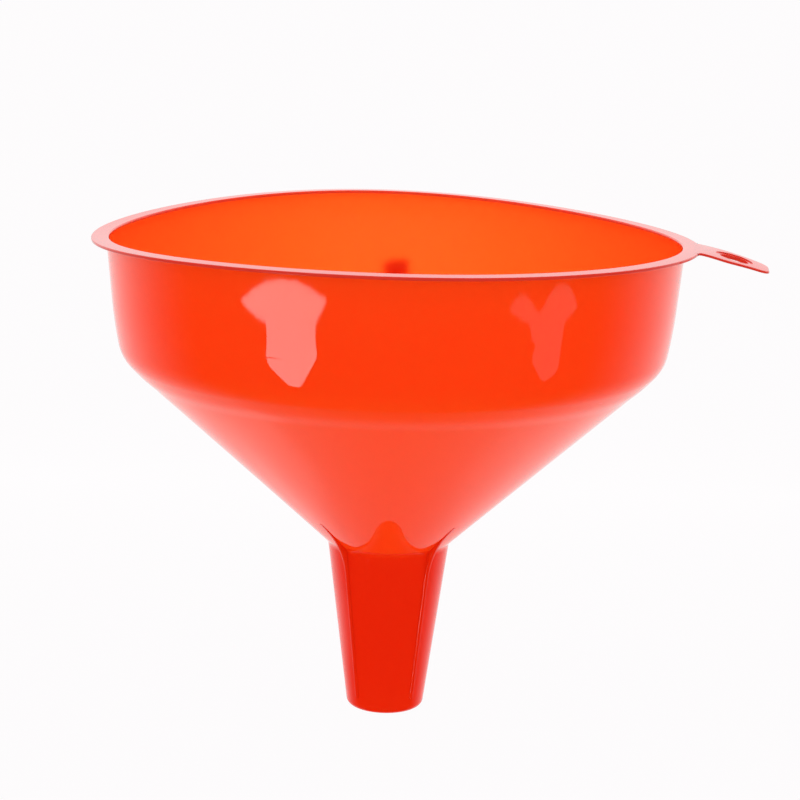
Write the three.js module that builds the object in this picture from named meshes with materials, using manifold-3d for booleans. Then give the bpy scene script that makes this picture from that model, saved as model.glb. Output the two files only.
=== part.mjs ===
// A moulded plastic funnel: deep collar, steep cone, tapered spout with vent ribs, and a hang tab.
// Millimetres, +Z up. The axis is Z, and z = 0 is where the cone meets the spout, which is the
// height at which a container's neck carries the funnel. The hang tab points along +X.
import * as THREE from 'three';
import { mergeVertices } from 'three/addons/utils/BufferGeometryUtils.js';
import Module from 'manifold-3d';

// Driving dimensions
const RIM_R = 100;                  // outside of the rim flange: the funnel is 200 across
const FLANGE_T = 1.0;               // thickness of the flange
const WALL = 1.0;                   // wall of the collar and the cone
const COLLAR_TOP_R = 95.1;          // outside of the collar under the flange
const COLLAR_DEPTH = 38;            // from the rim's top face to where the shoulder starts
const COLLAR_DRAFT = 0.091;         // inward slope of the collar's straight upper part
const BELLY_START = 21;             // depth at which the collar starts to curve in
const BELLY_R = 162;                // radius of that slow curve
const SHOULDER_END_DEPTH = 47.4;    // depth of the faint ring below the shoulder
const CONE_DEPTH = 105;             // depth at which the cone meets the spout
const CONE_SLOPE = 1.076;           // radius lost for each millimetre of depth: 47 degrees
const SPOUT_TOP_R = 20.6;           // outside of the spout where it leaves the cone
const SPOUT_END_R = 12.9;           // outside of its tip
const SPOUT_LENGTH = 58.2;          // from the cone to the tip
const SPOUT_TOP_WALL = 1.47;        // wall of the spout at the cone, measured level
const SPOUT_END_WALL = 1.2;         // and at the tip
const EDGE_ROUND = 0.35;            // rounding of the rim's and the tip's edges

const RIB_T = 1.5;                  // thickness of a vent rib
const RIB_H = 0.8;                  // how far it stands out of the spout
const RIB_START_R = 33.6;           // radius on the cone where it runs out
const RIB_START_H = 0.25;           // how far it stands out there
const RIB_CONE_RUN = 3;             // height over which it comes up to its height on the cone
const RIB_CONE_H = 0.56;            // that height
const RIB_WEB = 1.6;                // how far it stands out in the corner under the cone
const RIB_WEB_TOP = 0.5;            // the web in that corner starts this far above the junction
const RIB_WEB_FULL = 2;             // is at its deepest this far below it
const RIB_WEB_DEPTH = 6;            // and is back to the rib's own height this far below it
const RIB_END_RUN = 1;              // height of the slope at its lower end
const RIB_END_GAP = 6;              // from its lower end to the spout's tip
const RIB_ANGLES = [42.3, 127.3, -127.3, -42.3];  // from the hang tab, in degrees

const TAB_DROOP = 14.5;             // angle by which the hang tab hangs below level, in degrees
const TAB_FOLD = 1;                  // the fold that it droops from lies this far inside the edge
const TAB_INSET = 5;                // how far the plate runs in under the edge before it is cut
const TAB_LENGTH = 23.2;            // along its slope, from the flange's edge
const TAB_ROOT_HALF = 11.4;         // half its width where it leaves the flange
const TAB_END_HALF = 7.2;           // half its width where its round end starts
const TAB_END_ROUND = 4.5;          // handle length of the curve that rounds its end
const TAB_END_BULGE = 1;            // how far those handles lean in to the tab's middle
const TAB_END_REACH = 0.75;         // share of the handles' length that the curve reaches
const TAB_FILLET = 3;               // size of the fillets at its root
const TAB_FILLET_START = 1;         // they start this far inside the fold
const TAB_FILLET_CORNER = 0.5;      // turn at a corner this far outside it
const TAB_FILLET_END = 4;           // and end this far outside it
const TAB_FILLET_LEAN = 0.6;        // how much narrower than at its root the tab is there
const TAB_T = 1.2;                  // its thickness
const HOLE_CENTRE = 11.4;           // hang hole's centre, from the flange's edge
const HOLE_R = 4.6;

const GAP = 0.3;                    // clearance between the tab and the flange
const RIB_GAP = 0.1;                // clearance between a rib and the wall it stands on
const SEGMENTS = 72;                // facets round the axis
const TAB_SEGMENTS = 10;            // facets in each curve of the tab's outline
const SAME_POINT = 1e-4;            // corners closer than this are one corner
const TRIM_HEIGHT = 40;             // height of the cylinder that trims the tab's root
const RIM_Z = CONE_DEPTH;           // height of the rim's top face above the origin
const TIP_Z = -SPOUT_LENGTH;
const RAD = Math.PI / 180;

// Roughness of the surface finish
const GLOSS = 0.22;
const SATIN = 0.25;
const DULL = 0.3;

const wasm = await Module();
wasm.setup();

// Materials: one moulding, so one colour, with the finish that each zone shows
const plastic = (roughness) => new THREE.MeshStandardMaterial({
  color: new THREE.Color(0.93, 0.16, 0.04),
  roughness,
  metalness: 0,
});

// Outside radius of the collar at a depth below the rim's top face
function collarRadius(depth) {
  const curved = Math.max(0, depth - BELLY_START);
  return COLLAR_TOP_R - COLLAR_DRAFT * (depth - FLANGE_T) - curved * curved / (2 * BELLY_R);
}

const coneRadius = (depth) => SPOUT_TOP_R + CONE_SLOPE * (CONE_DEPTH - depth);

// A shell zone is turned from its outside line, given downwards, and its inside line
function ringGeometry(outside, inside) {
  const outline = [...inside, ...[...outside].reverse()];
  outline.push(outline[0].clone());
  const geometry = new THREE.LatheGeometry(outline, SEGMENTS);
  geometry.rotateX(Math.PI / 2);
  return geometry;
}

const at = (radius, depth) => new THREE.Vector2(radius, RIM_Z - depth);

function steps(from, to, count) {
  return Array.from({ length: count + 1 }, (_, i) => from + (to - from) * i / count);
}

function rimFlange() {
  const e = EDGE_ROUND;
  const bore = collarRadius(0) - WALL;
  const outside = [
    at(bore + 2 * e, 0),
    at(RIM_R - e, 0),
    at(RIM_R, e),
    at(RIM_R, FLANGE_T - e),
    at(RIM_R - e, FLANGE_T),
  ];
  const inside = [
    at(bore + 2 * e, 0),
    at(bore + 0.5 * e, 0.5 * e),
    at(collarRadius(2 * e) - WALL, 2 * e),
    at(collarRadius(FLANGE_T) - WALL, FLANGE_T),
  ];
  return ringGeometry(outside, inside.slice(1));
}

function collarWall() {
  const depths = [FLANGE_T, ...steps(BELLY_START, COLLAR_DEPTH, 4)];
  return ringGeometry(
    depths.map((d) => at(collarRadius(d), d)),
    depths.map((d) => at(collarRadius(d) - WALL, d)),
  );
}

// The shoulder is an arc that is tangent to the collar's lower end and to the cone
function shoulderArc(offset) {
  const start = Math.atan(COLLAR_DRAFT + (COLLAR_DEPTH - BELLY_START) / BELLY_R);
  const end = Math.atan(CONE_SLOPE);
  const cornerDepth = COLLAR_DEPTH + (coneRadius(COLLAR_DEPTH) - collarRadius(COLLAR_DEPTH))
    / (CONE_SLOPE - Math.tan(start));
  const tangent = (cornerDepth - COLLAR_DEPTH) / Math.cos(start);
  const radius = tangent / Math.tan((end - start) / 2);
  const centre = [
    collarRadius(COLLAR_DEPTH) - radius * Math.cos(start),
    COLLAR_DEPTH - radius * Math.sin(start),
  ];
  return steps(start, end, 6).map((angle) => at(
    centre[0] + (radius - offset) * Math.cos(angle),
    centre[1] + (radius - offset) * Math.sin(angle),
  ));
}

function shoulderBand() {
  const levelWall = WALL * Math.hypot(1, CONE_SLOPE);
  const outside = shoulderArc(0);
  const inside = shoulderArc(WALL).slice(1);
  outside.push(at(coneRadius(SHOULDER_END_DEPTH), SHOULDER_END_DEPTH));
  inside.unshift(at(collarRadius(COLLAR_DEPTH) - WALL, COLLAR_DEPTH));
  inside.push(at(coneRadius(SHOULDER_END_DEPTH) - levelWall, SHOULDER_END_DEPTH));
  return ringGeometry(outside, inside);
}

function coneWall() {
  const levelWall = WALL * Math.hypot(1, CONE_SLOPE);
  const depths = [SHOULDER_END_DEPTH, CONE_DEPTH];
  return ringGeometry(
    depths.map((d) => at(coneRadius(d), d)),
    depths.map((d) => at(coneRadius(d) - levelWall, d)),
  );
}

const spoutRadius = (z) => SPOUT_TOP_R + (SPOUT_TOP_R - SPOUT_END_R) * z / SPOUT_LENGTH;

function spoutTube() {
  const e = EDGE_ROUND;
  const p = (r, z) => new THREE.Vector2(r, z);
  const outside = [
    p(SPOUT_TOP_R, 0),
    p(SPOUT_END_R + 0.3 * e, TIP_Z + 1.7 * e),
    p(SPOUT_END_R - 0.3 * e, TIP_Z + 0.5 * e),
    p(SPOUT_END_R - e, TIP_Z),
  ];
  const inside = [
    p(SPOUT_TOP_R - SPOUT_TOP_WALL, 0),
    p(SPOUT_END_R - SPOUT_END_WALL, TIP_Z),
  ];
  return ringGeometry(outside, inside);
}

// A vent rib is a blade in an upright plane: it runs down the lower cone, webs the corner
// under it and goes on down the spout
function ventRib() {
  const lean = Math.atan(CONE_SLOPE);
  const startZ = (RIB_START_R - SPOUT_TOP_R) / CONE_SLOPE;
  const endZ = TIP_Z + RIB_END_GAP;
  const onCone = (z, out) => [SPOUT_TOP_R + CONE_SLOPE * z + out / Math.cos(lean), z];
  const onSpout = (z, out) => [spoutRadius(z) + out, z];
  const outline = [
    onCone(startZ, RIB_GAP),
    onCone(0, RIB_GAP),
    onSpout(endZ, RIB_GAP),
    onSpout(endZ + RIB_END_RUN, RIB_H),
    onSpout(-RIB_WEB_DEPTH, RIB_H),
    onSpout(-RIB_WEB_FULL, RIB_WEB),
    onCone(RIB_WEB_TOP, RIB_H),
    onCone(startZ - RIB_CONE_RUN, RIB_CONE_H),
    onCone(startZ, RIB_START_H),
  ];
  const shape = new THREE.Shape(outline.map(([r, z]) => new THREE.Vector2(r, z)));
  const geometry = new THREE.ExtrudeGeometry(shape, { depth: RIB_T, bevelEnabled: false });
  geometry.translate(0, 0, -RIB_T / 2);
  geometry.rotateX(Math.PI / 2);
  return geometry;
}

// The tab's outline is drawn flat, with x along its slope from the fold inside the flange's edge
function tabOutline() {
  const root = TAB_FOLD - TAB_INSET;
  const wide = TAB_ROOT_HALF + TAB_FILLET;
  const filletStart = TAB_FOLD - TAB_FILLET_START;
  const filletCorner = TAB_FOLD + TAB_FILLET_CORNER;
  const filletEnd = TAB_FOLD + TAB_FILLET_END;
  const narrow = TAB_ROOT_HALF - TAB_FILLET_LEAN;
  const tip = TAB_FOLD + TAB_LENGTH - TAB_END_REACH * TAB_END_ROUND;
  const handle = tip + TAB_END_ROUND;
  const handleHalf = TAB_END_HALF - TAB_END_BULGE;
  const shape = new THREE.Shape();
  shape.moveTo(root, -wide);
  shape.lineTo(filletStart, -wide);
  shape.quadraticCurveTo(filletCorner, -TAB_ROOT_HALF, filletEnd, -narrow);
  shape.lineTo(tip, -TAB_END_HALF);
  shape.bezierCurveTo(handle, -handleHalf, handle, handleHalf, tip, TAB_END_HALF);
  shape.lineTo(filletEnd, narrow);
  shape.quadraticCurveTo(filletCorner, TAB_ROOT_HALF, filletStart, wide);
  shape.lineTo(root, wide);
  const hole = new THREE.Path();
  hole.absarc(TAB_FOLD + HOLE_CENTRE, 0, HOLE_R, 0, 2 * Math.PI, true);
  shape.holes.push(hole);
  return shape;
}

function asManifold(geometry) {
  const bare = geometry.clone();
  bare.deleteAttribute('normal');
  bare.deleteAttribute('uv');
  const merged = mergeVertices(bare, SAME_POINT);
  return new wasm.Manifold(new wasm.Mesh({
    numProp: 3,
    vertProperties: new Float32Array(merged.attributes.position.array),
    triVerts: new Uint32Array(merged.index.array),
  }));
}

function asGeometry(solid) {
  const { vertProperties, triVerts } = solid.getMesh();
  const geometry = new THREE.BufferGeometry();
  geometry.setAttribute('position', new THREE.BufferAttribute(vertProperties, 3));
  geometry.setIndex(new THREE.BufferAttribute(triVerts, 1));
  geometry.computeVertexNormals();
  return geometry;
}

// The tab droops from a fold just inside the flange's edge, and is cut back to that edge
function hangTab() {
  const plate = new THREE.ExtrudeGeometry(tabOutline(), {
    depth: TAB_T,
    bevelEnabled: false,
    curveSegments: TAB_SEGMENTS,
  });
  plate.translate(0, 0, -TAB_T);
  plate.rotateY(TAB_DROOP * RAD);
  plate.translate(RIM_R - TAB_FOLD, 0, RIM_Z);
  const trimR = RIM_R + GAP;
  const flangeEdge = new THREE.CylinderGeometry(trimR, trimR, TRIM_HEIGHT, 2 * SEGMENTS);
  flangeEdge.rotateX(Math.PI / 2);
  flangeEdge.translate(0, 0, RIM_Z);
  return asGeometry(asManifold(plate).subtract(asManifold(flangeEdge)));
}

function node(name, geometry, roughness) {
  const mesh = new THREE.Mesh(geometry, plastic(roughness));
  mesh.name = name;
  return mesh;
}

const funnel = new THREE.Group();
funnel.add(node('rim_flange', rimFlange(), DULL));
funnel.add(node('collar_wall', collarWall(), GLOSS));
funnel.add(node('shoulder_band', shoulderBand(), GLOSS));
funnel.add(node('cone_wall', coneWall(), SATIN));
funnel.add(node('spout_tube', spoutTube(), SATIN));

RIB_ANGLES.forEach((angle, i) => {
  const rib = node(`vent_rib_${i + 1}`, ventRib(), DULL);
  rib.rotation.z = angle * RAD;
  funnel.add(rib);
});

funnel.add(node('hang_tab', hangTab(), DULL));

export default funnel;
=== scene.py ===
import math

import bpy
import numpy as np
from mathutils import Matrix, Vector
from mathutils.geometry import delaunay_2d_cdt


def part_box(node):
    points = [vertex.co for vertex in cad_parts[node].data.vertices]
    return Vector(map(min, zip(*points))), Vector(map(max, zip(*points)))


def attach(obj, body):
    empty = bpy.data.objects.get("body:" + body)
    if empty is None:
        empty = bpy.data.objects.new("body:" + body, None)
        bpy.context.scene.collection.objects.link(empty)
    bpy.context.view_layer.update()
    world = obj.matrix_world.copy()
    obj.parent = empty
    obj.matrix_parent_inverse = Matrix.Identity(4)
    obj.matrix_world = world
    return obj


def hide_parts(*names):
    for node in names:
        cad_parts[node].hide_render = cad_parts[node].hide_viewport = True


# A one-piece moulded plastic funnel, stood on its spout on a pale table. The funnel's lengths are in
# millimetres, those of the table, lights and camera in metres, all in the CAD's frame: the axis is Z, z = 0 is
# where the cone meets the spout, and the hang tab points along +X.

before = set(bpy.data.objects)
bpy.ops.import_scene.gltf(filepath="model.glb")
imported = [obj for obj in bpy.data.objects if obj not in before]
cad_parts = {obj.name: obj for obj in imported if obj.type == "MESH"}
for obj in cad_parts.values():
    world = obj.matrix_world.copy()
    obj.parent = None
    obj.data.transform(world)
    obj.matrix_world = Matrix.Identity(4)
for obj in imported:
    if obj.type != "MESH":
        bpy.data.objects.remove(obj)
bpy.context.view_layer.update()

MM = 0.001
SEGMENTS = 256                      # facets round the axis
ROUND_STEPS = 6                     # facets in the rounding of an edge
LONGEST = 3.0                       # longest facet along a wall
NO_LENGTH = 1e-6                    # a line shorter than this is left out

# ---------------------------------------------------------------- driving dimensions, as in the CAD
_, FLANGE_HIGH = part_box("rim_flange")
_, COLLAR_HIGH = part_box("collar_wall")
SHOULDER_LOW, SHOULDER_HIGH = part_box("shoulder_band")
SPOUT_LOW, SPOUT_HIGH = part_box("spout_tube")
_, TAB_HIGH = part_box("hang_tab")
RIM_R = FLANGE_HIGH.x / MM
RIM_Z = FLANGE_HIGH.z / MM
TIP_Z = SPOUT_LOW.z / MM
FLANGE_T = (FLANGE_HIGH.z - COLLAR_HIGH.z) / MM
COLLAR_DEPTH = (FLANGE_HIGH.z - SHOULDER_HIGH.z) / MM
SHOULDER_END_DEPTH = (FLANGE_HIGH.z - SHOULDER_LOW.z) / MM
CONE_DEPTH = RIM_Z
SPOUT_LENGTH = -TIP_Z

WALL = 1.0
COLLAR_TOP_R = 95.1
COLLAR_DRAFT = 0.091
BELLY_START = 21.0
BELLY_R = 162.0
CONE_SLOPE = 1.082
SPOUT_TOP_R = SPOUT_HIGH.x / MM
SPOUT_END_R = 12.9
SPOUT_TOP_WALL = 1.47
SPOUT_END_WALL = 2.4
TIP_ROUND = 2.3                     # rounding of the spout's tip, outside
TIP_BORE_ROUND = 0.25               # and inside
NECK_FILLET = 4.0                   # radius of the fillet between the cone and the spout
# Lean of the wall from upright, in degrees, against depth, below the knuckle: it is a little steep at first and
# then leans too far over before it settles to the cone's lean, which leaves a faint ring round the funnel.
RING_LEANS = ((42.4, 42.3), (43.6, 42.6), (44.8, 44.0), (46.0, 47.0), (47.2, 49.4), (48.4, 49.2), (49.6, 47.3))

RIB_ANGLES = (42.3, 127.3, -127.3, -42.3)
RIB_T = 1.5
RIB_START_R = 32.4
RIB_END_GAP = 5.0

TAB_T = 0.85
TAB_TIP = TAB_HIGH.x / MM - RIM_R   # how far the tab reaches out of the flange
TAB_ROOT_HALF = 12.4
TAB_TIP_HALF = 6.8
TAB_TWIST = 0.042                   # the tab leans this much towards its -Y side
TAB_SAG = 0.3                       # and sags this much at the hole
HOLE_CENTRE = 11.0
HOLE_R = 4.6
HOLE_DISH = 1.5                     # width of the sunk ring round the hole
HOLE_DISH_DEPTH = 0.4
HOLE_BOSS_WIDTH, HOLE_BOSS_DEPTH = 3.0, 0.85    # the thicker ring under it

# The rim isn't quite flat: the moulding has warped a little, mostly up and down twice round. Amplitudes of the
# second and third harmonics, with their phase measured from WARP_ZERO.
WARP = (-1.67, -0.25, 0.37, -0.46)
WARP_ZERO = math.radians(6.2)
RIM_FALL = 0.16                     # the flange's top falls by this from its inner to its outer edge


def warp_at(angle):
    a = angle - WARP_ZERO
    return (WARP[0] * np.cos(2 * a) + WARP[1] * np.sin(2 * a)
            + WARP[2] * np.cos(3 * a) + WARP[3] * np.sin(3 * a))


def warp_turn(angle):
    """How fast the warp rises with the angle."""
    a = angle - WARP_ZERO
    return (-2 * WARP[0] * np.sin(2 * a) + 2 * WARP[1] * np.cos(2 * a)
            - 3 * WARP[2] * np.sin(3 * a) + 3 * WARP[3] * np.cos(3 * a))


def warp_share(z):
    """1 at the rim, fading to 0 at the spout."""
    return np.clip(np.asarray(z, float) / RIM_Z, 0, 1) ** 2


# ---------------------------------------------------------------- lines of a cross-section
# A line is (points, normals): points (radius, height) along it, and the outward normal at each. An outline runs
# with the plastic on its left, so the outward normal is to its right.


def straight(a, b, longest=LONGEST):
    a, b = np.array(a, float), np.array(b, float)
    length = np.hypot(*(b - a))
    count = max(1, math.ceil(length / longest))
    t = np.linspace(0, 1, count + 1)[:, None]
    d = (b - a) / length
    return a + (b - a) * t, np.tile([d[1], -d[0]], (count + 1, 1))


def rounded(corners, steps=ROUND_STEPS, longest=LONGEST):
    """Lines along corners given as (radius, height, rounding). The first and last are sharp, as are those with
    no rounding."""
    lines = []
    at = np.array(corners[0][:2], float)
    for i in range(1, len(corners)):
        here = np.array(corners[i][:2], float)
        r = corners[i][2] if i < len(corners) - 1 else 0
        d1 = (here - at) / np.hypot(*(here - at))
        if r <= 0:
            lines.append(straight(at, here, longest))
            at = here
            continue
        after = np.array(corners[i + 1][:2], float)
        d2 = (after - here) / np.hypot(*(after - here))
        turn = math.atan2(d1[0] * d2[1] - d1[1] * d2[0], d1 @ d2)
        back = r * math.tan(abs(turn) / 2)
        start = here - back * d1
        if np.hypot(*(start - at)) > NO_LENGTH:
            lines.append(straight(at, start, longest))
        side = 1 if turn > 0 else -1
        a = math.atan2(-d1[0], d1[1]) + turn * np.linspace(0, 1, steps + 1)
        n = np.column_stack([np.cos(a), np.sin(a)])
        centre = start - side * r * n[0]
        lines.append((centre + side * r * n, n))
        at = here + back * d2
    return lines


def at(radius, depth):
    return (radius, RIM_Z - depth)


def collar_radius(depth):
    curve = np.maximum(0, np.asarray(depth, float) - BELLY_START)
    return COLLAR_TOP_R - COLLAR_DRAFT * (depth - FLANGE_T) - curve * curve / (2 * BELLY_R)


def collar_lean(depth):
    return np.arctan(COLLAR_DRAFT + np.maximum(0, depth - BELLY_START) / BELLY_R)


CONE_LEAN = math.atan(CONE_SLOPE)
SPOUT_LEAN = math.atan((SPOUT_TOP_R - SPOUT_END_R) / SPOUT_LENGTH)


WALL_STEP = 0.05                    # the wall's line is worked out at steps of this depth
KNUCKLE_LOW = RING_LEANS[0][0]      # the knuckle ends at this depth
KNUCKLE_HIGH = (30.0, KNUCKLE_LOW - 0.5)    # and starts between these
HALVINGS = 40


def make_wall():
    """Depths, leans and outside radii down the wall, from the rim to the spout. The knuckle is the arc that
    joins the collar to the first of RING_LEANS."""
    ring_depths = [d for d, _ in RING_LEANS]
    ring_leans = [math.radians(a) for _, a in RING_LEANS[:-1]] + [CONE_LEAN]
    depths = np.arange(0, CONE_DEPTH + WALL_STEP / 2, WALL_STEP)

    def wall_from(start):
        """The wall with its knuckle starting at this depth."""
        first, last = math.sin(collar_lean(start)), math.sin(ring_leans[0])
        arc = np.arcsin(first + (last - first) * np.clip((depths - start) / (KNUCKLE_LOW - start), 0, 1))
        lean = np.where(depths < start, collar_lean(depths), arc)
        lean = np.where(depths < KNUCKLE_LOW, lean, np.interp(depths, ring_depths, ring_leans))
        slope = np.tan(lean)
        fall = np.concatenate([[0], np.cumsum((slope[1:] + slope[:-1]) / 2 * np.diff(depths))])
        return lean, SPOUT_TOP_R + fall[-1] - fall

    shallow, deep = KNUCKLE_HIGH
    for _ in range(HALVINGS):
        start = (shallow + deep) / 2
        lean, radius = wall_from(start)
        if radius[0] > collar_radius(0):
            shallow = start
        else:
            deep = start
    return depths, lean, radius


WALL_DEPTHS, WALL_LEANS, WALL_RADII = make_wall()


def wall_radius(depth):
    return float(np.interp(depth, WALL_DEPTHS, WALL_RADII))


def wall_line(first, final, step, inner=False):
    """The wall's outside or inside, from one depth to another."""
    depths = np.linspace(first, final, 1 + math.ceil(abs(final - first) / step))
    lean = np.interp(depths, WALL_DEPTHS, WALL_LEANS)
    out = np.column_stack([np.cos(lean), -np.sin(lean)])
    points = np.column_stack([np.interp(depths, WALL_DEPTHS, WALL_RADII), RIM_Z - depths])
    return (points - WALL * out, -out) if inner else (points, out)


def spout_radius(z):
    return SPOUT_TOP_R + (SPOUT_TOP_R - SPOUT_END_R) * z / SPOUT_LENGTH


# ---------------------------------------------------------------- meshes
def shade(mesh, normals):
    mesh.polygons.foreach_set("use_smooth", [True] * len(mesh.polygons))
    mesh.normals_split_custom_set(normals.tolist())
    mesh.update()


def new_object(name, mesh):
    obj = bpy.data.objects.new(name, mesh)
    bpy.context.scene.collection.objects.link(obj)
    return obj


def turned(name, lines, joints=()):
    """A closed ring turned from the lines of its outline, following the rim's warp. The lines numbered in
    joints are where it meets the next zone, inside the plastic, and their faces get the second material."""
    points = np.concatenate([p[:-1] for p, _ in lines])
    joint = np.concatenate([[k % len(lines) in joints] * (len(p) - 1) for k, (p, _) in enumerate(lines)])
    first = np.concatenate([n[:-1] for _, n in lines])
    last = np.concatenate([n[1:] for _, n in lines])
    m = len(points)
    angle = np.linspace(0, 2 * math.pi, SEGMENTS, endpoint=False)
    rise = warp_at(angle)[:, None] * warp_share(points[:, 1])[None]
    co = np.stack([
        np.cos(angle)[:, None] * points[:, 0],
        np.sin(angle)[:, None] * points[:, 0],
        points[:, 1] + rise,
    ], -1)
    grow = 1e-3
    share = warp_share(points[:, 1])
    steep = (warp_share(points[:, 1] + grow) - warp_share(points[:, 1] - grow)) / (2 * grow)

    def normals_of(flat, seg, idx):
        a = angle[seg]
        stretch = 1 + warp_at(a) * steep[idx]
        up = flat[:, 1] / stretch
        along = -up * warp_turn(a) * share[idx] / points[idx, 0]
        n = np.column_stack([
            flat[:, 0] * np.cos(a) - along * np.sin(a),
            flat[:, 0] * np.sin(a) + along * np.cos(a),
            up,
        ])
        return n / np.linalg.norm(n, axis=1)[:, None]

    s, i = [x.ravel() for x in np.meshgrid(np.arange(SEGMENTS), np.arange(m), indexing="ij")]
    s2, i2 = (s + 1) % SEGMENTS, (i + 1) % m
    faces = np.column_stack([s * m + i, s2 * m + i, s2 * m + i2, s * m + i2])
    normals = np.stack([
        normals_of(first[i], s, i), normals_of(first[i], s2, i),
        normals_of(last[i], s2, i2), normals_of(last[i], s, i2),
    ], 1).reshape(-1, 3)
    mesh = bpy.data.meshes.new(name)
    mesh.from_pydata((co.reshape(-1, 3) * MM).tolist(), [], faces.tolist())
    mesh.polygons.foreach_set("material_index", joint[i].astype(np.int32))
    shade(mesh, normals)
    return new_object(name, mesh)


# ---------------------------------------------------------------- the turned zones of the moulding
BORE_ROUND = 0.6
EDGE_ROUND = 0.35
FLANGE_FILLET = 0.8
FLANGE_LOW_ROUND = 0.3              # rounding of the flange's lower outer edge
FLANGE_LONGEST = 1.2                # longest facet across the flange
COARSE, FINE = 1.5, 0.3             # longest facets down the wall, where it is nearly straight and where not


def make_rim():
    outer, inner = collar_radius(FLANGE_T), collar_radius(FLANGE_T) - WALL
    return turned("rim", rounded([
        (*at(inner, FLANGE_T), 0),
        (*at(outer + FLANGE_FILLET, FLANGE_T), 0),
        (*at(RIM_R, FLANGE_T + RIM_FALL), FLANGE_LOW_ROUND),
        (*at(RIM_R, RIM_FALL), EDGE_ROUND),
        (*at(collar_radius(0) - WALL, 0), BORE_ROUND),
        (*at(inner, FLANGE_T), 0),
    ], longest=FLANGE_LONGEST), joints=(0,))


def make_collar():
    r = wall_radius(FLANGE_T)
    below = FLANGE_T + 2 * FLANGE_FILLET
    top = wall_line(FLANGE_T + WALL * math.sin(collar_lean(0)), COLLAR_DEPTH, COARSE, inner=True)
    outline = [wall_line(COLLAR_DEPTH, below, COARSE)]
    outline += rounded([
        (*at(wall_radius(below), below), 0),
        (*at(r, FLANGE_T), FLANGE_FILLET),
        (*at(r + FLANGE_FILLET, FLANGE_T), 0),
    ])
    outline.append(straight(at(r + FLANGE_FILLET, FLANGE_T), top[0][0]))
    outline.append(top)
    outline.append(straight(top[0][-1], outline[0][0][0]))
    last = len(outline) - 1
    return turned("collar", outline, joints=(last, last - 2))


def make_shoulder():
    outside = wall_line(SHOULDER_END_DEPTH, COLLAR_DEPTH, FINE)
    inside = wall_line(COLLAR_DEPTH, SHOULDER_END_DEPTH, FINE, inner=True)
    return turned("shoulder", [
        outside,
        straight(outside[0][-1], inside[0][0]),
        inside,
        straight(inside[0][-1], outside[0][0]),
    ], joints=(1, 3))


NECK_TANGENT = NECK_FILLET * math.tan((CONE_LEAN - SPOUT_LEAN) / 2)
NECK_DEPTH = CONE_DEPTH - NECK_TANGENT * math.cos(CONE_LEAN)
BORE_TOP = (SPOUT_TOP_R - SPOUT_TOP_WALL, 0.0)


def make_cone():
    settled = RING_LEANS[-1][0]
    below = wall_line(NECK_DEPTH, settled, LONGEST)
    outside = wall_line(settled, SHOULDER_END_DEPTH, FINE)
    inside = wall_line(SHOULDER_END_DEPTH, settled, FINE, inner=True)
    return turned("cone", [
        below,
        outside,
        straight(outside[0][-1], inside[0][0]),
        inside,
        straight(inside[0][-1], BORE_TOP),
        straight(BORE_TOP, below[0][0]),
    ], joints=(2, 5))


def make_spout():
    neck = at(wall_radius(NECK_DEPTH), NECK_DEPTH)
    outline = rounded([
        (*BORE_TOP, 0),
        (SPOUT_END_R - SPOUT_END_WALL, TIP_Z, TIP_BORE_ROUND),
        (SPOUT_END_R, TIP_Z, TIP_ROUND),
        (SPOUT_TOP_R, 0, NECK_FILLET),
        (*neck, 0),
    ])
    outline.append(straight(neck, BORE_TOP))
    return turned("spout", outline, joints=(len(outline) - 1,))


# ---------------------------------------------------------------- vent ribs
RIB_SINK = 0.4                      # how far a rib's foot is sunk in the wall
RIB_EDGE = 0.5                      # rounding of its outer edge
RIB_EDGE_SHARE = 0.6                # which is at most this share of its height
RIB_ON_CONE = (0.06, 0.6)           # how far it stands out where it runs out on the cone, and near the corner
RIB_ON_SPOUT = (0.75, 0.35)         # below the corner, and at its lower end
RIB_HOLLOW = 28.0                   # radius of its hollow outer edge under the cone
RIB_STEPS, RIB_EDGE_STEPS = 16, 5   # facets along that hollow, and points round each outer edge
RIB_LONGEST = 1.5                   # longest facet along it
RIB_SHARP = math.radians(50)        # its edges sharper than this aren't smoothed


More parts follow.
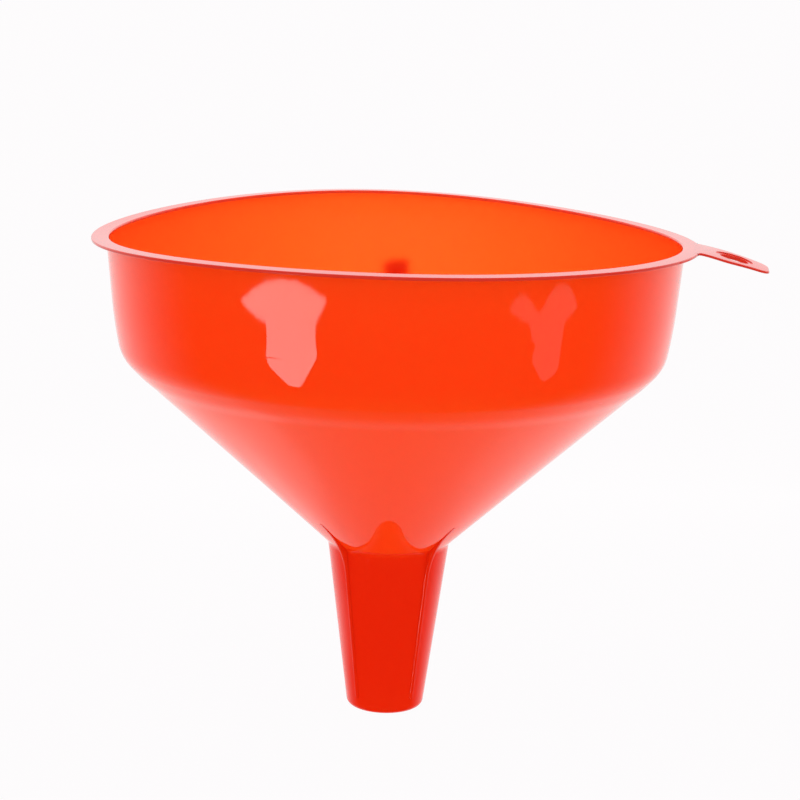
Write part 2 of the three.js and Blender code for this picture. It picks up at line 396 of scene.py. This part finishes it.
def make_rib(name, angle):
    on_cone = np.array([math.cos(CONE_LEAN), -math.sin(CONE_LEAN)])
    on_spout = np.array([math.cos(SPOUT_LEAN), -math.sin(SPOUT_LEAN)])
    high = np.array([RIB_START_R, (RIB_START_R - SPOUT_TOP_R) / CONE_SLOPE])
    low = np.array([spout_radius(TIP_Z + RIB_END_GAP), TIP_Z + RIB_END_GAP])
    half = (CONE_LEAN - SPOUT_LEAN) / 2
    bisector = (on_cone + on_spout) / np.linalg.norm(on_cone + on_spout)
    corner = np.array([SPOUT_TOP_R, 0.0])

    def offset(out):
        return corner + bisector * out / math.cos(half)

    edge = rounded([
        (*(low + on_spout * RIB_ON_SPOUT[1]), 0),
        (*offset((RIB_ON_CONE[1] + RIB_ON_SPOUT[0]) / 2), RIB_HOLLOW),
        (*(high + on_cone * RIB_ON_CONE[0]), 0),
    ], steps=RIB_STEPS, longest=RIB_LONGEST)
    foot_low, foot_high = low - on_spout * RIB_SINK, high - on_cone * RIB_SINK
    foot_corner = offset(-RIB_SINK)
    top = np.concatenate([p[(0 if k == 0 else 1):] for k, (p, _) in enumerate(edge)])
    arc_middle = len(edge[0][0]) - 1 + RIB_STEPS // 2
    run = np.concatenate([[0], np.cumsum(np.hypot(*np.diff(top, axis=0).T))])
    foot = []
    for k in range(len(top)):
        if k <= arc_middle:
            foot.append(foot_low + (foot_corner - foot_low) * run[k] / run[arc_middle])
        else:
            t = (run[k] - run[arc_middle]) / (run[-1] - run[arc_middle])
            foot.append(foot_corner + (foot_high - foot_corner) * t)
    verts, faces = [], []
    quarter = np.linspace(0, math.pi / 2, RIB_EDGE_STEPS)
    for f, o in zip(foot, top):
        tall = np.linalg.norm(o - f)
        up = (o - f) / tall
        e = min(RIB_EDGE, RIB_EDGE_SHARE * tall)
        ring = [(-RIB_T / 2, 0.0)]
        ring += [(-RIB_T / 2 + e - e * math.cos(a), tall - e + e * math.sin(a)) for a in quarter]
        ring += [(RIB_T / 2 - e + e * math.sin(a), tall - e + e * math.cos(a)) for a in quarter]
        ring += [(RIB_T / 2, 0.0)]
        for w, h in ring:
            p = f + up * h
            verts.append((p[0] * MM, w * MM, p[1] * MM))
    m = 2 * RIB_EDGE_STEPS + 2
    for k in range(len(top) - 1):
        for j in range(m):
            j2 = (j + 1) % m
            faces.append((k * m + j, k * m + j2, (k + 1) * m + j2, (k + 1) * m + j))
    faces.append(tuple(range(m))[::-1])
    faces.append(tuple(range((len(top) - 1) * m, len(top) * m)))
    mesh = bpy.data.meshes.new(name)
    mesh.from_pydata(verts, [], faces)
    mesh.transform(Matrix.Rotation(math.radians(angle), 4, "Z"))
    mesh.polygons.foreach_set("use_smooth", [True] * len(mesh.polygons))
    mesh.set_sharp_from_angle(angle=RIB_SHARP)
    mesh.update()
    return new_object(name, mesh)


# ---------------------------------------------------------------- hang tab
TAB_SINK = 2.2                      # how far its root runs in over the flange
TAB_SKIN = 0.015                    # and how far it stands above the flange there
TAB_FLARE = 1.6                     # radius of the fillets at its root
TAB_TIP_ROUND = 4.8
TAB_EDGE_STEPS, TAB_EDGE_LONGEST = 10, 0.9      # facets round its corners, and the longest along its edge
TAB_BEND = (-0.3, 1.5)              # where it bends down out of the flange, from the flange's edge
TAB_SLOPE = (0.138, 0.0074)         # extra fall per mm from the flange's edge, and how fast that grows


def eased(t):
    """From 0 to 1, starting and ending gently."""
    return t * t * (3 - 2 * t)


def tab_fall(reach):
    """Fall of the tab's top below the rim, against the distance out from the flange's edge."""
    line = np.linspace(-6, 30, 721)     # well past both ends of the tab, every 0.05
    bend = eased(np.clip((line - TAB_BEND[0]) / (TAB_BEND[1] - TAB_BEND[0]), 0, 1))
    flange_slope = RIM_FALL / (RIM_R - collar_radius(0))
    slope = flange_slope + (TAB_SLOPE[0] + TAB_SLOPE[1] * np.maximum(line, 0)) * bend
    fall = np.concatenate([[0], np.cumsum((slope[1:] + slope[:-1]) / 2 * np.diff(line))])
    fall += RIM_FALL - np.interp(0, line, fall)
    return np.interp(reach, line, fall)


def tab_top(x, y):
    reach = np.hypot(x, y) - RIM_R
    out = np.clip(reach / HOLE_CENTRE, 0, 1)
    twisted = (TAB_TWIST * y - TAB_SAG) * eased(out)
    return RIM_Z + TAB_SKIN - tab_fall(reach) + warp_at(np.arctan2(y, x)) + twisted


HOLE_SEGMENTS = 72
DISH_ROUND = 0.15                   # rounding in the sunk ring
BOSS_ROUND = 0.2                    # and of the thicker ring under it
TAB_GRID = 1.1                      # spacing of the points inside its upper and lower faces
NEAR_ROOT = (-1.6, -0.9, -0.4, 0, 0.4, 0.8, 1.2, 1.7, 2.3)      # closer columns of them, where it bends
FROM_EDGE, FROM_HOLE = 1.0, 0.6     # and how far they stay from its edge and its hole
ACROSS_HOLE = 0.995                 # a triangle whose middle is nearer than this share of the hole is left out


def make_tab():
    wide = TAB_ROOT_HALF + TAB_FLARE
    side = [
        (-TAB_SINK, -wide, 0),
        (-TAB_FLARE / 2, -wide, 0),
        (-0.6, -TAB_ROOT_HALF, TAB_FLARE),
        (TAB_TIP, -TAB_TIP_HALF, TAB_TIP_ROUND),
    ]
    corners = side + [(x, -y, r) for x, y, r in side[::-1]] + [side[0]]
    lines = rounded(corners, steps=TAB_EDGE_STEPS, longest=TAB_EDGE_LONGEST)
    outer = np.concatenate([p[:-1] for p, _ in lines])
    outer_n = np.concatenate([n[:-1] for _, n in lines])
    a = np.linspace(0, -2 * math.pi, HOLE_SEGMENTS, endpoint=False)
    inward = np.column_stack([-np.cos(a), -np.sin(a)])
    hole = np.array([HOLE_CENTRE, 0]) - HOLE_R * inward
    # Sections through the edge and the hole, as (out, height, rounding). Their first and last lines only give
    # the direction in which the flat faces leave, and are cut off again in rim_strip.
    outer_profile = rounded([
        (-2, -TAB_T, 0), (0, -TAB_T, EDGE_ROUND), (0, 0, EDGE_ROUND), (-2, 0, 0),
    ], steps=5)
    hole_profile = rounded([
        (-HOLE_BOSS_WIDTH - 1, -TAB_T, 0),
        (-HOLE_BOSS_WIDTH, -TAB_T, BOSS_ROUND),
        (0, -TAB_T - HOLE_BOSS_DEPTH, BOSS_ROUND),
        (0, -HOLE_DISH_DEPTH, DISH_ROUND),
        (-HOLE_DISH + DISH_ROUND, -HOLE_DISH_DEPTH + 0.05, DISH_ROUND),
        (-HOLE_DISH, 0, DISH_ROUND),
        (-HOLE_DISH - 1, 0, 0),
    ], steps=4)
    verts, faces, normals = [], [], []

    def height_slope(x, y):
        g = 0.01
        along = (tab_top(x + g, y) - tab_top(x - g, y)) / (2 * g)
        across = (tab_top(x, y + g) - tab_top(x, y - g)) / (2 * g)
        return along, across

    def bent(p, n):
        """The normal after the flat plate is bent to the tab's top."""
        sx, sy = height_slope(RIM_R + p[:, 0], p[:, 1])
        m = np.column_stack([n[:, 0] - n[:, 2] * sx, n[:, 1] - n[:, 2] * sy, n[:, 2]])
        return m / np.linalg.norm(m, axis=1)[:, None]

    def rim_strip(loop, loop_n, profile):
        """The rounded edge along a loop. Returns the vertex numbers of its lowest and highest rings."""
        trimmed = profile[1:-1]
        pts = np.concatenate([p[(0 if k == 0 else 1):] for k, (p, _) in enumerate(trimmed)])
        first = np.concatenate([n[:-1] for _, n in trimmed])
        last = np.concatenate([n[1:] for _, n in trimmed])
        base, m, k = len(verts), len(loop), len(pts)
        for q in pts:
            where = loop + loop_n * q[0]
            for x, y in where:
                verts.append((x, y, q[1]))
        for j in range(k - 1):
            for i in range(m):
                i2 = (i + 1) % m
                here, above = base + j * m, base + (j + 1) * m
                faces.append((here + i, here + i2, above + i2, above + i))
                for idx, flat in ((i, first[j]), (i2, first[j]), (i2, last[j]), (i, last[j])):
                    normals.append((idx, loop, loop_n, flat))
        return base, base + (k - 1) * m

    low_outer, high_outer = rim_strip(outer, outer_n, outer_profile)
    low_hole, high_hole = rim_strip(hole, inward, hole_profile)
    strip_normals = []
    for idx, loop, loop_n, flat in normals:
        strip_normals.append((*loop[idx], loop_n[idx][0] * flat[0], loop_n[idx][1] * flat[0], flat[1]))
    strip_normals = np.array(strip_normals)
    loop_normals = list(bent(strip_normals[:, :2], strip_normals[:, 2:]))

    def flat_face(outer_base, hole_base, up):
        """The upper or lower face, between the rings of the edge and the hole that start at these vertices."""
        ring = [verts[outer_base + i][:2] for i in range(len(outer))]
        inner = [verts[hole_base + i][:2] for i in range(len(hole))]
        z = verts[outer_base][2]
        hole_reach = math.hypot(inner[0][0] - HOLE_CENTRE, inner[0][1])
        inside = []
        for x in (*NEAR_ROOT, *np.arange(3.2, TAB_TIP, TAB_GRID)):
            half = TAB_ROOT_HALF + (TAB_TIP_HALF - TAB_ROOT_HALF) * max(x, 0) / TAB_TIP - FROM_EDGE
            if x > TAB_TIP - TAB_TIP_ROUND:
                over = x - (TAB_TIP - TAB_TIP_ROUND)
                half -= TAB_TIP_ROUND - math.sqrt(max(0, TAB_TIP_ROUND ** 2 - over ** 2))
            count = max(1, round(2 * half / TAB_GRID))
            for y in np.linspace(-half, half, count + 1):
                clear = math.hypot(x - HOLE_CENTRE, y) > hole_reach + FROM_HOLE
                if clear and half > FROM_EDGE / 2 and x < TAB_TIP - FROM_EDGE:
                    inside.append((x, y))
        points = [Vector(p) for p in ring + inner + inside]
        n1, n2 = len(ring), len(inner)
        edges = [(i, (i + 1) % n1) for i in range(n1)] + [(n1 + i, n1 + (i + 1) % n2) for i in range(n2)]
        co, _, tris, origin, _, _ = delaunay_2d_cdt(points, edges, [], 1, 1e-7)
        number = []
        for c, o in zip(co, origin):
            o = o[0]
            if o < n1:
                number.append(outer_base + o)
            elif o < n1 + n2:
                number.append(hole_base + o - n1)
            else:
                number.append(len(verts))
                verts.append((c[0], c[1], z))
        for t in tris:
            cx, cy = sum(co[i][0] for i in t) / len(t), sum(co[i][1] for i in t) / len(t)
            if math.hypot(cx - HOLE_CENTRE, cy) < hole_reach * ACROSS_HOLE:
                continue
            x = [co[i] for i in t]
            area = (x[1] - x[0]).cross(x[2] - x[0])
            order = t if (area > 0) == up else t[::-1]
            faces.append(tuple(number[i] for i in order))
            flat = np.array([[0, 0, 1.0 if up else -1.0]] * 3)
            loop_normals.extend(bent(np.array([co[i][:] for i in order]), flat))

    flat_face(low_outer, low_hole, False)
    flat_face(high_outer, high_hole, True)
    v = np.array(verts)
    x = RIM_R + v[:, 0]
    co = np.column_stack([x, v[:, 1], tab_top(x, v[:, 1]) + v[:, 2]]) * MM
    mesh = bpy.data.meshes.new("tab")
    mesh.from_pydata(co.tolist(), [], faces)
    shade(mesh, np.array(loop_normals))
    return new_object("tab", mesh)


pieces = {
    "rim_flange": make_rim(),
    "collar_wall": make_collar(),
    "shoulder_band": make_shoulder(),
    "cone_wall": make_cone(),
    "spout_tube": make_spout(),
    "hang_tab": make_tab(),
}
for i, angle in enumerate(RIB_ANGLES, 1):
    pieces[f"vent_rib_{i}"] = make_rib(f"rib_{i}", angle)

# ---------------------------------------------------------------- materials
WALL_RED = (0.965, 0.026, 0.0037)
# The rim's red, also on the tab, is a darker copy of the wall's red: painted shade for the flange's edge, which
# lets less light through and mirrors the dark room.
RIM_PAINTED_SHADE_RED = (0.68, 0.034, 0.026)
# The spout's red, also on the ribs, is a darker copy of the wall's red: painted shade for the spout, which gets
# less light.
SPOUT_PAINTED_SHADE_RED = (0.93, 0.021, 0.003)
GLOW = (1.0, 0.475, 0.15, 1)         # colour of the light that comes through
IOR = 1.5


def moulded(name, gloss, scuffs, through, red):
    """Glossy, slightly translucent moulded polyethylene: faint flow marks, fine waviness and worn scuffs.
    through is the share of the light that goes on through each face of the wall."""
    mat = bpy.data.materials.new(name)
    mat.use_nodes = True
    nt = mat.node_tree
    nt.nodes.clear()

    def node(kind, **values):
        n = nt.nodes.new(kind)
        for key, value in values.items():
            if key in n.inputs:
                n.inputs[key].default_value = value
            else:
                setattr(n, key, value)
        return n

    def link(a, b):
        nt.links.new(a, b)

    def ranged(value, low, high, start, end):
        n = node("ShaderNodeMapRange")
        link(value, n.inputs["Value"])
        for key, x in zip(("From Min", "From Max", "To Min", "To Max"), (low, high, start, end)):
            n.inputs[key].default_value = x
        return n.outputs["Result"]

    def times(a, b):
        n = node("ShaderNodeMath", operation="MULTIPLY")
        link(a, n.inputs[0])
        link(b, n.inputs[1])
        return n.outputs[0]

    def noise(vector, scale, detail, roughness):
        n = node("ShaderNodeTexNoise", Scale=scale, Detail=detail, Roughness=roughness)
        link(vector, n.inputs["Vector"])
        return n.outputs["Fac"]

    where = node("ShaderNodeTexCoord").outputs["Object"]
    flow = noise(where, 28.0, 3.0, 0.55)
    tint = node("ShaderNodeMix", data_type="RGBA")
    link(flow, tint.inputs[0])
    tint.inputs[6].default_value = (0.97 * red[0], 0.85 * red[1], 0.85 * red[2], 1)
    tint.inputs[7].default_value = (*red, 1)

    stretch = node("ShaderNodeMapping")
    stretch.inputs["Scale"].default_value = (14.0, 14.0, 260.0)
    stretch.inputs["Rotation"].default_value = (0.35, 0.2, 0.0)
    link(where, stretch.inputs["Vector"])
    streak = ranged(noise(stretch.outputs["Vector"], 3.0, 2.0, 0.5), 0.66, 0.74, 0.0, 1.0)
    patch = ranged(noise(where, 45.0, 2.0, 0.5), 0.52, 0.68, 0.0, 1.0)
    rough = node("ShaderNodeMath", operation="MULTIPLY_ADD")
    link(times(streak, patch), rough.inputs[0])
    rough.inputs[1].default_value = scuffs
    link(ranged(flow, 0.0, 1.0, gloss * 0.85, gloss * 1.2), rough.inputs[2])

    bump1 = node("ShaderNodeBump", Strength=1.0, Distance=0.00003)
    link(noise(where, 22.0, 1.0, 0.4), bump1.inputs["Height"])
    bump2 = node("ShaderNodeBump", Strength=1.0, Distance=0.0000012)
    link(noise(where, 420.0, 2.0, 0.5), bump2.inputs["Height"])
    link(bump1.outputs["Normal"], bump2.inputs["Normal"])
    normal = bump2.outputs["Normal"]

    skin = node("ShaderNodeBsdfPrincipled", IOR=IOR)
    skin.inputs["Specular IOR Level"].default_value = 0.0
    link(tint.outputs[2], skin.inputs["Base Color"])
    link(rough.outputs[0], skin.inputs["Roughness"])
    link(normal, skin.inputs["Normal"])
    glow = node("ShaderNodeBsdfTranslucent", Color=GLOW)
    body = node("ShaderNodeMixShader", Fac=through)
    link(skin.outputs[0], body.inputs[1])
    link(glow.outputs[0], body.inputs[2])
    mirror = node("ShaderNodeBsdfAnisotropic", Color=(1, 1, 1, 1))
    link(rough.outputs[0], mirror.inputs["Roughness"])
    link(normal, mirror.inputs["Normal"])
    fresnel = node("ShaderNodeFresnel", IOR=IOR)
    link(normal, fresnel.inputs["Normal"])
    outside = node("ShaderNodeMath", operation="SUBTRACT")
    outside.inputs[0].default_value = 1.0
    link(node("ShaderNodeNewGeometry").outputs["Backfacing"], outside.inputs[1])
    both = node("ShaderNodeMixShader")
    link(times(fresnel.outputs[0], outside.outputs[0]), both.inputs[0])
    link(body.outputs[0], both.inputs[1])
    link(mirror.outputs[0], both.inputs[2])
    out = node("ShaderNodeOutputMaterial")
    link(both.outputs[0], out.inputs["Surface"])
    return mat


def inner_joint():
    """The hidden faces where two zones of the one moulding join: light goes straight on through them."""
    mat = bpy.data.materials.new("inner_joint")
    mat.use_nodes = True
    nt = mat.node_tree
    nt.nodes.clear()
    through = nt.nodes.new("ShaderNodeBsdfTransparent")
    out = nt.nodes.new("ShaderNodeOutputMaterial")
    nt.links.new(through.outputs[0], out.inputs["Surface"])
    return mat


wall_plastic = moulded("moulded_wall", 0.025, 0.25, 0.45, WALL_RED)
# The rim's finish, also on the tab, has painted shade in its darker red.
rim_painted_shade_plastic = moulded("painted_shade_rim", 0.08, 0.15, 0.2, RIM_PAINTED_SHADE_RED)
# The spout's finish, also on the ribs, has painted shade in its darker red.
spout_painted_shade_plastic = moulded("painted_shade_spout", 0.04, 0.25, 0.2, SPOUT_PAINTED_SHADE_RED)
inner_plastic = inner_joint()
FINISH = {
    "rim_flange": rim_painted_shade_plastic,
    "hang_tab": rim_painted_shade_plastic,
    "collar_wall": wall_plastic,
    "shoulder_band": wall_plastic,
    "cone_wall": wall_plastic,
}
for node_name, piece in pieces.items():
    piece.data.materials.append(FINISH.get(node_name, spout_painted_shade_plastic))
    if node_name in FINISH or node_name == "spout_tube":
        piece.data.materials.append(inner_plastic)
    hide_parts(node_name)
    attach(piece, "root")

# ---------------------------------------------------------------- table, light and camera
LOOK = math.radians(6.2)            # the camera looks along this direction from +Y, turned about Z
AWAY = Vector((-math.sin(LOOK), math.cos(LOOK), 0))
RIGHT = Vector((math.cos(LOOK), math.sin(LOOK), 0))
UP = Vector((0, 0, 1))


def unit(v):
    return v / v.length


CAMERA_PITCH, CAMERA_YAW, CAMERA_ROLL = 12.06, 0.20, 1.47
CAMERA_OUT = 0.7703                 # from the funnel's axis
CAMERA_ABOVE = 0.108                # above the rim
CAMERA_LENS, CAMERA_SENSOR = 105.67, 36.0


def make_camera():
    pitch, yaw, roll = (math.radians(a) for a in (CAMERA_PITCH, CAMERA_YAW, CAMERA_ROLL))
    forward = (RIGHT * math.sin(yaw) + AWAY * math.cos(yaw)) * math.cos(pitch) - UP * math.sin(pitch)
    right = unit(forward.cross(UP))
    up = right.cross(forward)
    r2 = right * math.cos(roll) + up * math.sin(roll)
    u2 = up * math.cos(roll) - right * math.sin(roll)
    cam = bpy.data.cameras.new("camera")
    cam.lens, cam.sensor_width = CAMERA_LENS, CAMERA_SENSOR
    obj = bpy.data.objects.new("camera", cam)
    bpy.context.scene.collection.objects.link(obj)
    place = UP * (RIM_Z * MM + CAMERA_ABOVE) - AWAY * CAMERA_OUT
    m = Matrix.Identity(4)
    for row in range(3):
        m[row][0], m[row][1], m[row][2], m[row][3] = r2[row], u2[row], -forward[row], place[row]
    obj.matrix_world = m
    bpy.context.scene.camera = obj


make_camera()


def plain(name, shaders):
    """A material of one shader, or of two added together. A shader is (node type, colour, strength)."""
    mat = bpy.data.materials.new(name)
    mat.use_nodes = True
    nt = mat.node_tree
    nt.nodes.clear()
    outputs = []
    for kind, colour, strength in shaders:
        n = nt.nodes.new(kind)
        n.inputs["Color"].default_value = (*colour, 1)
        if "Strength" in n.inputs:
            n.inputs["Strength"].default_value = strength
        outputs.append(n.outputs[0])
    if len(outputs) == 2:
        add = nt.nodes.new("ShaderNodeAddShader")
        nt.links.new(outputs[0], add.inputs[0])
        nt.links.new(outputs[1], add.inputs[1])
        outputs = [add.outputs[0]]
    out = nt.nodes.new("ShaderNodeOutputMaterial")
    nt.links.new(outputs[0], out.inputs["Surface"])
    return mat


def sheet(name, corners, material):
    """A flat staged surface through the corners, given in metres."""
    mesh = bpy.data.meshes.new(name)
    mesh.from_pydata([tuple(c) for c in corners], [], [tuple(range(len(corners)))])
    mesh.materials.append(material)
    obj = new_object(name, mesh)
    return obj


def only_mirrored(obj):
    obj.visible_camera = False
    obj.visible_diffuse = False
    obj.visible_transmission = False
    obj.visible_shadow = False


FLOOR_HALF = 12.0
FLOOR_Z = TIP_Z * MM
JUST_BELOW = 0.0001                 # how far the table's lights lie under it
FLOOR_GLOW, FLOOR_DIFFUSE = 0.978, 0.004
floor = sheet(
    "floor",
    [(x * FLOOR_HALF, y * FLOOR_HALF, FLOOR_Z) for x, y in ((-1, -1), (1, -1), (1, 1), (-1, 1))],
    plain("pale_table", [
        ("ShaderNodeBsdfDiffuse", (FLOOR_DIFFUSE,) * 3, 0),
        ("ShaderNodeEmission", (1.0, 0.985, 0.993), FLOOR_GLOW),
    ]),
)
floor.visible_glossy = False


def see_through_from_below(material):
    nt = material.node_tree
    out = next(n for n in nt.nodes if n.type == "OUTPUT_MATERIAL")
    mix = nt.nodes.new("ShaderNodeMixShader")
    nt.links.new(nt.nodes.new("ShaderNodeNewGeometry").outputs["Backfacing"], mix.inputs[0])
    nt.links.new(out.inputs["Surface"].links[0].from_socket, mix.inputs[1])
    nt.links.new(nt.nodes.new("ShaderNodeBsdfTransparent").outputs[0], mix.inputs[2])
    nt.links.new(mix.outputs[0], out.inputs["Surface"])


see_through_from_below(floor.active_material)

# Light that fades in and out over the table to either side of the foot, seen only where the spout mirrors it.
# Each row is where it starts, is full, is still full and has ended: away from the camera, and out to the side.
CARD_AWAY = (-0.020, 0.0, 0.055, 0.095)
CARD_OUT = (0.035, 0.060, 0.080, 0.130)
CARD_CORNERS = [(CARD_OUT[i], CARD_AWAY[k]) for i, k in ((0, 0), (3, 0), (3, 3), (0, 3))]
CARD_LEFT, CARD_RIGHT = 0.17, 0.06  # strengths


def fading(name, side, strength):
    """A see-through material that adds light between the ends of CARD_AWAY and CARD_OUT."""
    mat = plain(name, [
        ("ShaderNodeBsdfTransparent", (1, 1, 1), 0),
        ("ShaderNodeEmission", (1.0, 0.98, 0.98), 0),
    ])
    nt = mat.node_tree
    where = nt.nodes.new("ShaderNodeTexCoord").outputs["Object"]
    total = None
    for axis, (start, full, ending, end) in ((AWAY, CARD_AWAY), (RIGHT * side, CARD_OUT)):
        along = nt.nodes.new("ShaderNodeVectorMath")
        along.operation = "DOT_PRODUCT"
        along.inputs[1].default_value = axis
        nt.links.new(where, along.inputs[0])
        for low, high, first, last in ((start, full, 0.0, 1.0), (ending, end, 1.0, 0.0)):
            share = nt.nodes.new("ShaderNodeMapRange")
            share.interpolation_type = "SMOOTHSTEP"
            for key, x in zip(("From Min", "From Max", "To Min", "To Max"), (low, high, first, last)):
                share.inputs[key].default_value = x
            nt.links.new(along.outputs["Value"], share.inputs["Value"])
            product = nt.nodes.new("ShaderNodeMath")
            product.operation = "MULTIPLY"
            product.inputs[0].default_value = strength
            if total is not None:
                nt.links.new(total, product.inputs[0])
            nt.links.new(share.outputs["Result"], product.inputs[1])
            total = product.outputs[0]
    emission = next(n for n in nt.nodes if n.type == "EMISSION")
    nt.links.new(total, emission.inputs["Strength"])
    return mat


for side, strength in ((-1, CARD_LEFT), (1, CARD_RIGHT)):
    only_mirrored(sheet(
        "table_light",
        [RIGHT * side * x + AWAY * y + UP * (FLOOR_Z - JUST_BELOW) for x, y in CARD_CORNERS],
        fading("table_light", side, strength),
    ))

# A low light behind the funnel, below the level of its rim, which shines through the back wall
BACK_FAR, BACK_HALF, BACK_TOP = 0.30, 0.22, 0.085
BACK_STRENGTH = 7.4
back_light = sheet(
    "back_light",
    [AWAY * BACK_FAR + RIGHT * x * BACK_HALF + UP * z for x, z in (
        (-1, FLOOR_Z), (1, FLOOR_Z), (1, BACK_TOP), (-1, BACK_TOP),
    )],
    plain("back_light", [("ShaderNodeEmission", (1.0, 0.99, 0.98), BACK_STRENGTH)]),
)
back_light.visible_camera = False
back_light.visible_glossy = False
back_light.visible_shadow = False

# The end of the support behind the funnel. It is out of sight, but it keeps the back light off the wall there.
SUPPORT_ASIDE, SUPPORT_HALF = 0.0003, 0.0048
SUPPORT_TOP, SUPPORT_SLANT, SUPPORT_LOW = 0.0232, 0.0246, 0.042     # depths below the rim
SUPPORT_TOP_AWAY, SUPPORT_LOW_AWAY = 0.0940, 0.0915                 # distances from the axis
support = sheet(
    "support",
    [
        RIGHT * (SUPPORT_ASIDE + x * SUPPORT_HALF) + AWAY * away + UP * (RIM_Z * MM - depth)
        for x, away, depth in (
            (-1, SUPPORT_LOW_AWAY, SUPPORT_LOW),
            (1, SUPPORT_LOW_AWAY, SUPPORT_LOW),
            (1, SUPPORT_TOP_AWAY, SUPPORT_TOP),
            (-0.3, SUPPORT_TOP_AWAY, SUPPORT_TOP),
            (-1, SUPPORT_TOP_AWAY, SUPPORT_SLANT),
        )
    ],
    plain("support_dark", [("ShaderNodeBsdfDiffuse", (0.01, 0.01, 0.01), 0)]),
)
support.visible_camera = False
support.visible_glossy = False

# Two lamps in the dark room behind the camera, as the glossy collar mirrors them: a white umbrella with what
# hangs below it to the left, and a dimmer pair of panels on a stand to the right. Corners are (across, up,
# rounding), seen from the funnel.
LAMP_FAR = 3.0
LAMP_AIM = UP * (RIM_Z * MM - 0.02)
UMBRELLA = (
    (0.90, 0.345, 0), (-0.025, 0.4585, 5.8), (-0.95, 0.28, 0), (-0.69, 0.27, 0.02),
    (-0.69, 0.05, 0.15), (-0.17, -0.33, 0.02), (0.40, 0.02, 0.15), (0.32, 0.325, 0.02),
)
PANELS = (
    (0.83, 0.15, 0), (0.60, 0.215, 1.4), (0.15, 0.21, 0.6), (-0.10, 0.265, 1.5), (-0.50, 0.285, 1.8),
    (-0.74, 0.24, 0), (-0.42, 0.215, 0.05), (-0.47, -0.13, 0.12), (-0.17, -0.25, 0.2), (0.22, -0.03, 0.12),
    (0.17, 0.14, 0.03), (0.36, 0.178, 0.2),
)


def lamp(name, side, below, outline, strength):
    """side and below are the angles of its middle from the camera's side, to the right, and down from level."""
    side, below = math.radians(side), math.radians(below)
    out = (RIGHT * math.sin(side) - AWAY * math.cos(side)) * math.cos(below) - UP * math.sin(below)
    across = unit(out.cross(UP))
    up = across.cross(out)
    middle = LAMP_AIM + out * LAMP_FAR
    lines = rounded([*outline, outline[0]])
    corners = [middle + across * x + up * y for p, _ in lines for x, y in p[:-1].tolist()]
    only_mirrored(sheet(name, corners, plain(name, [("ShaderNodeEmission", (1.0, 0.99, 0.98), strength)])))


lamp("umbrella", -44.5, 25.0, UMBRELLA, 4.4)
lamp("panels", 61.5, 22.0, PANELS, 0.7)


def make_world():
    """White studio surroundings. Reflections see them dark on the camera's side, where the room is."""
    world = bpy.data.worlds.new("studio")
    bpy.context.scene.world = world
    world.use_nodes = True
    nt = world.node_tree
    nt.nodes.clear()
    where = nt.nodes.new("ShaderNodeTexCoord").outputs["Generated"]

    def along(axis):
        n = nt.nodes.new("ShaderNodeVectorMath")
        n.operation = "DOT_PRODUCT"
        nt.links.new(where, n.inputs[0])
        n.inputs[1].default_value = axis
        return n.outputs["Value"]

    def ranged(value, a, b, c, d, smooth=True):
        n = nt.nodes.new("ShaderNodeMapRange")
        n.interpolation_type = "SMOOTHSTEP" if smooth else "LINEAR"
        nt.links.new(value, n.inputs["Value"])
        for key, x in zip(("From Min", "From Max", "To Min", "To Max"), (a, b, c, d)):
            n.inputs[key].default_value = x
        return n.outputs["Result"]

    def combined(operation, a, b):
        n = nt.nodes.new("ShaderNodeMath")
        n.operation = operation
        nt.links.new(a, n.inputs[0])
        nt.links.new(b, n.inputs[1])
        return n.outputs[0]

    def mixed(factor, a, b):
        n = nt.nodes.new("ShaderNodeMix")
        n.data_type = "FLOAT"
        nt.links.new(factor, n.inputs[0])
        for socket, x in ((n.inputs[2], a), (n.inputs[3], b)):
            if isinstance(x, float):
                socket.default_value = x
            else:
                nt.links.new(x, socket)
        return n.outputs[0]

    depth = along(AWAY)
    height = along(UP)
    glossy = combined("MULTIPLY", ranged(depth, -0.10, 0.95, 0.0, 0.95), ranged(height, -0.10, 0.30, 1.0, 1.2))
    behind = ranged(depth, -1.0, 1.0, 1.0, 1.8, smooth=False)
    around = combined("MULTIPLY", behind, ranged(height, 0.10, 0.60, 1.0, 0.75))
    soft = combined("ADD", around, ranged(height, 0.60, 1.0, 0.0, 1.1))
    path = nt.nodes.new("ShaderNodeLightPath").outputs["Is Glossy Ray"]
    strength = mixed(path, soft, glossy)
    background = nt.nodes.new("ShaderNodeBackground")
    nt.links.new(strength, background.inputs["Strength"])
    background.inputs["Color"].default_value = (1, 0.99, 0.99, 1)
    out = nt.nodes.new("ShaderNodeOutputWorld")
    nt.links.new(background.outputs[0], out.inputs["Surface"])
    world.cycles.sampling_method = "NONE"


make_world()

scene = bpy.context.scene
scene.view_settings.view_transform = "Standard"
scene.cycles.use_adaptive_sampling = False
scene.cycles.diffuse_bounces = 8
scene.cycles.transmission_bounces = 12
